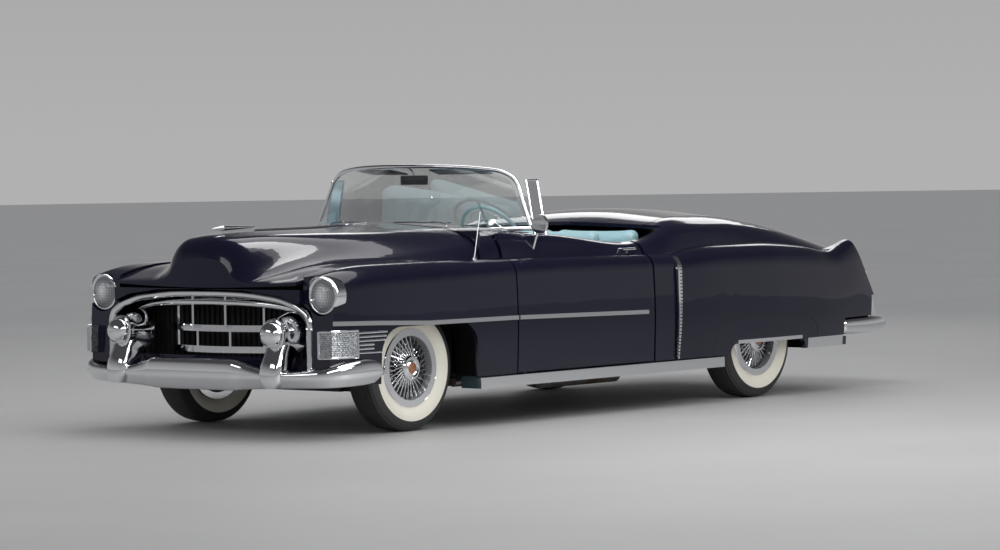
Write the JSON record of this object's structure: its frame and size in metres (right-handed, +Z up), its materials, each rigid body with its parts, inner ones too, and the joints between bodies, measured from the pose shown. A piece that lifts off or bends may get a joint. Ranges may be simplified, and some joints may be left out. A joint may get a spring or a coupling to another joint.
{
  "type": "convertible car",
  "caption": "Full-size 1950s luxury convertible with the top down, dark paint, bright trim, bench seats, and opening hood, trunk, top cover and doors.",
  "frame": {"origin": "middle of the car on the ground", "axes": "+X to the car's left, +Y to its rear, +Z up"},
  "size_m": [2.0348, 5.6078, 1.4879],
  "materials": {
    "body_paint": "deep gloss navy paint",
    "frame_paint": "satin black chassis paint",
    "chrome": "polished chrome",
    "lamp_glass": "clear ribbed lamp glass",
    "tail_glass": "red lamp glass",
    "window_glass": "clear glass",
    "trim_plastic": "turquoise blue enamel and plastic",
    "seat_leather": "pale turquoise leather",
    "floor_mat": "dark blue carpet",
    "engine_iron": "painted iron",
    "exhaust_steel": "dull steel",
    "tyre_rubber": "black tyre with a cream wide whitewall"
  },
  "bodies": {
    "body": {"chassis_frame": "frame_paint", "floor_pan": "floor_mat", "cowl": "body_paint", "front_fender_left": "body_paint", "front_fender_right": "body_paint", "rear_quarter_left": "body_paint", "rear_quarter_right": "body_paint", "rear_deck": "body_paint", "grille": "chrome", "front_panel": "body_paint", "front_bumper": "chrome", "rear_bumper": "chrome", "headlamps": "lamp_glass", "parking_lamps": "lamp_glass", "tail_lamps": "tail_glass", "side_trim_left": "chrome", "side_trim_right": "chrome", "windshield_glass": "window_glass", "windshield_frame": "chrome", "dashboard": "trim_plastic", "steering_column": "trim_plastic", "front_seat": "seat_leather", "rear_seat": "seat_leather", "engine_block": "engine_iron", "radiator": "frame_paint", "rear_axle": "frame_paint", "front_suspension": "frame_paint", "exhaust": "exhaust_steel"},
    "hood_panel": {"hood": "body_paint", "hood_ornament": "chrome"},
    "trunk_panel": {"trunk_lid": "body_paint"},
    "cover_panel": {"top_cover": "body_paint"},
    "left_door": {"door_left": "body_paint", "door_trim_left": "chrome"},
    "right_door": {"door_right": "body_paint", "door_trim_right": "chrome"},
    "left_knuckle": {"knuckle_left": "frame_paint"},
    "right_knuckle": {"knuckle_right": "frame_paint"},
    "front_left_wheel": {"tyre_front_left": "tyre_rubber", "rim_front_left": "chrome"},
    "front_right_wheel": {"tyre_front_right": "tyre_rubber", "rim_front_right": "chrome"},
    "rear_left_wheel": {"tyre_rear_left": "tyre_rubber", "rim_rear_left": "chrome"},
    "rear_right_wheel": {"tyre_rear_right": "tyre_rubber", "rim_rear_right": "chrome"},
    "hand_wheel": {"steering_wheel": "trim_plastic"}
  },
  "joints": [
    {"name": "hood_hinge", "type": "hinge", "parent": "body", "child": "hood_panel", "pos_m": [0, -1.292, 1.134], "axis": [-1, 0, 0], "range_deg": [0, 50]},
    {"name": "trunk_hinge", "type": "hinge", "parent": "body", "child": "trunk_panel", "pos_m": [0, 1.586, 1.107], "axis": [1, 0, 0], "range_deg": [0, 70]},
    {"name": "cover_hinge", "type": "hinge", "parent": "body", "child": "cover_panel", "pos_m": [0, 1.468, 1.124], "axis": [-1, 0, 0], "range_deg": [0, 60]},
    {"name": "left_door_hinge", "type": "hinge", "parent": "body", "child": "left_door", "pos_m": [0.955, -1.02, 0.6], "axis": [0, 0, -1], "range_deg": [0, 65]},
    {"name": "right_door_hinge", "type": "hinge", "parent": "body", "child": "right_door", "pos_m": [-0.955, -1.02, 0.6], "axis": [0, 0, 1], "range_deg": [0, 65]},
    {"name": "left_steer", "type": "hinge", "parent": "body", "child": "left_knuckle", "pos_m": [0.69, -1.874, 0.355], "axis": [0, 0, 1], "range_deg": [-30, 30]},
    {"name": "right_steer", "type": "hinge", "parent": "body", "child": "right_knuckle", "pos_m": [-0.69, -1.874, 0.355], "axis": [0, 0, 1], "range_deg": [-30, 30]},
    {"name": "front_left_spin", "type": "hinge", "parent": "left_knuckle", "child": "front_left_wheel", "pos_m": [0.751, -1.874, 0.355], "axis": [1, 0, 0], "continuous": true},
    {"name": "front_right_spin", "type": "hinge", "parent": "right_knuckle", "child": "front_right_wheel", "pos_m": [-0.751, -1.874, 0.355], "axis": [1, 0, 0], "continuous": true},
    {"name": "rear_left_spin", "type": "hinge", "parent": "body", "child": "rear_left_wheel", "pos_m": [0.8015, 1.326, 0.355], "axis": [1, 0, 0], "continuous": true},
    {"name": "rear_right_spin", "type": "hinge", "parent": "body", "child": "rear_right_wheel", "pos_m": [-0.8015, 1.326, 0.355], "axis": [1, 0, 0], "continuous": true},
    {"name": "hand_wheel_turn", "type": "hinge", "parent": "body", "child": "hand_wheel", "pos_m": [0.38, -0.602, 1.047], "axis": [0, 0.848, 0.5299], "range_deg": [-620, 620]}
  ],
  "couplings": [
    {"joint": "right_steer", "follows": "left_steer", "ratio": 1},
    {"joint": "hand_wheel_turn", "follows": "left_steer", "ratio": 20}
  ]
}
